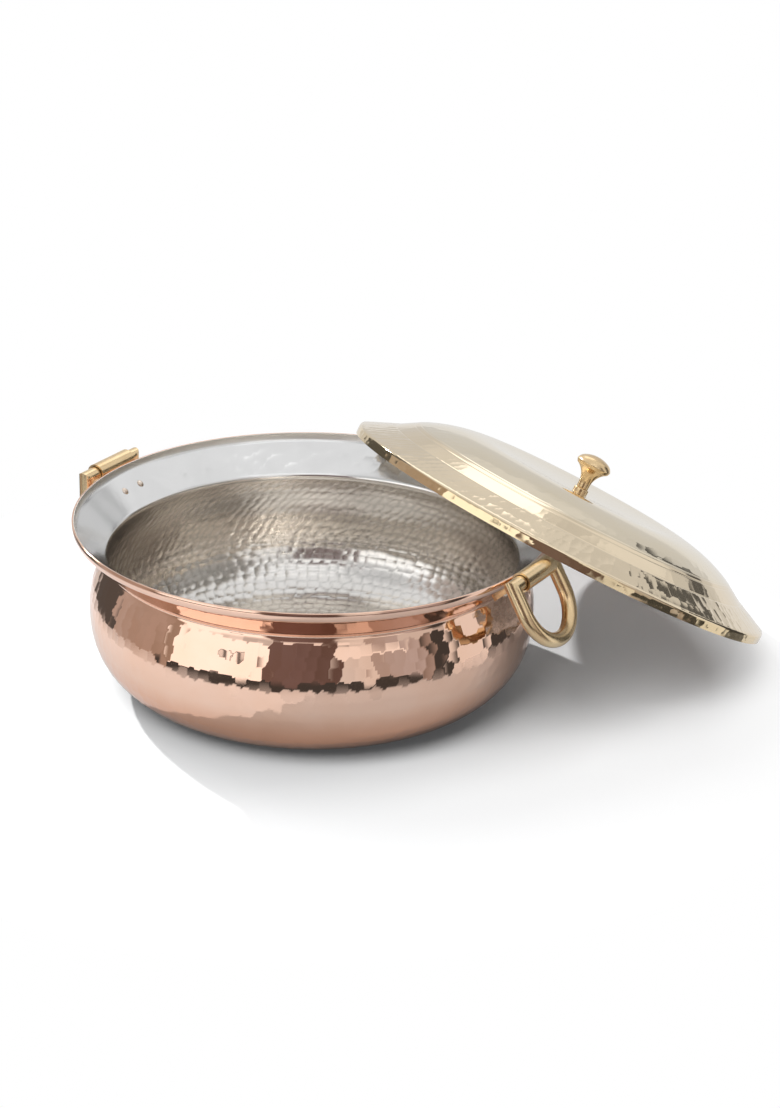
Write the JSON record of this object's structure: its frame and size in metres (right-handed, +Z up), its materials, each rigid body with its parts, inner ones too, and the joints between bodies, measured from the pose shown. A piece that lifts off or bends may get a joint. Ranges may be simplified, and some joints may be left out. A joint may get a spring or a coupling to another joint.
{
  "type": "cooking pot",
  "caption": "Wide hammered copper cooking pot, tinned inside, with a flared rim, riveted sleeves holding swinging D rings, and a loose domed brass lid leaning on it.",
  "frame": {"origin": "centre of the flat base, on the surface that the pot stands on", "axes": "+Z up; X runs through the two handles, with the right handle, beside the lid, on +X; +Y away from the picture's camera side, where the lid leans"},
  "size_m": [0.4066, 0.4266, 0.1502],
  "materials": {
    "hammered_copper": "polished hammered copper",
    "rivet_copper": "copper, tinned over on the inside",
    "tin": "wiped tin over hammer marks",
    "cast_brass": "polished cast brass",
    "lid_brass": "pale polished brass, hammered brim",
    "screw_steel": "plain steel"
  },
  "bodies": {
    "pot": {"pot_body": "hammered_copper", "tin_lining": "tin", "left_bracket": "cast_brass", "right_bracket": "cast_brass", "left_rivets": "rivet_copper", "right_rivets": "rivet_copper"},
    "left_ring": {"left_ring": "cast_brass"},
    "right_ring": {"right_ring": "cast_brass"},
    "lid": {"lid_shell": "lid_brass", "lid_lining": "tin", "knob": "cast_brass", "knob_collar": "cast_brass", "knob_screw": "screw_steel", "screw_washer": "screw_steel"}
  },
  "joints": [
    {"name": "left_ring_hinge", "type": "hinge", "parent": "pot", "child": "left_ring", "pos_m": [-0.1564, 0, 0.1088], "axis": [0, 1, 0], "range_deg": [-19, 222]},
    {"name": "right_ring_hinge", "type": "hinge", "parent": "pot", "child": "right_ring", "pos_m": [0.1564, 0, 0.1088], "axis": [0, -1, 0], "range_deg": [-49, 38]},
    {"name": "lid_lift", "type": "slide", "parent": "pot", "child": "lid", "axis": [0, 0, 1], "range_m": [0, 0.2]}
  ]
}
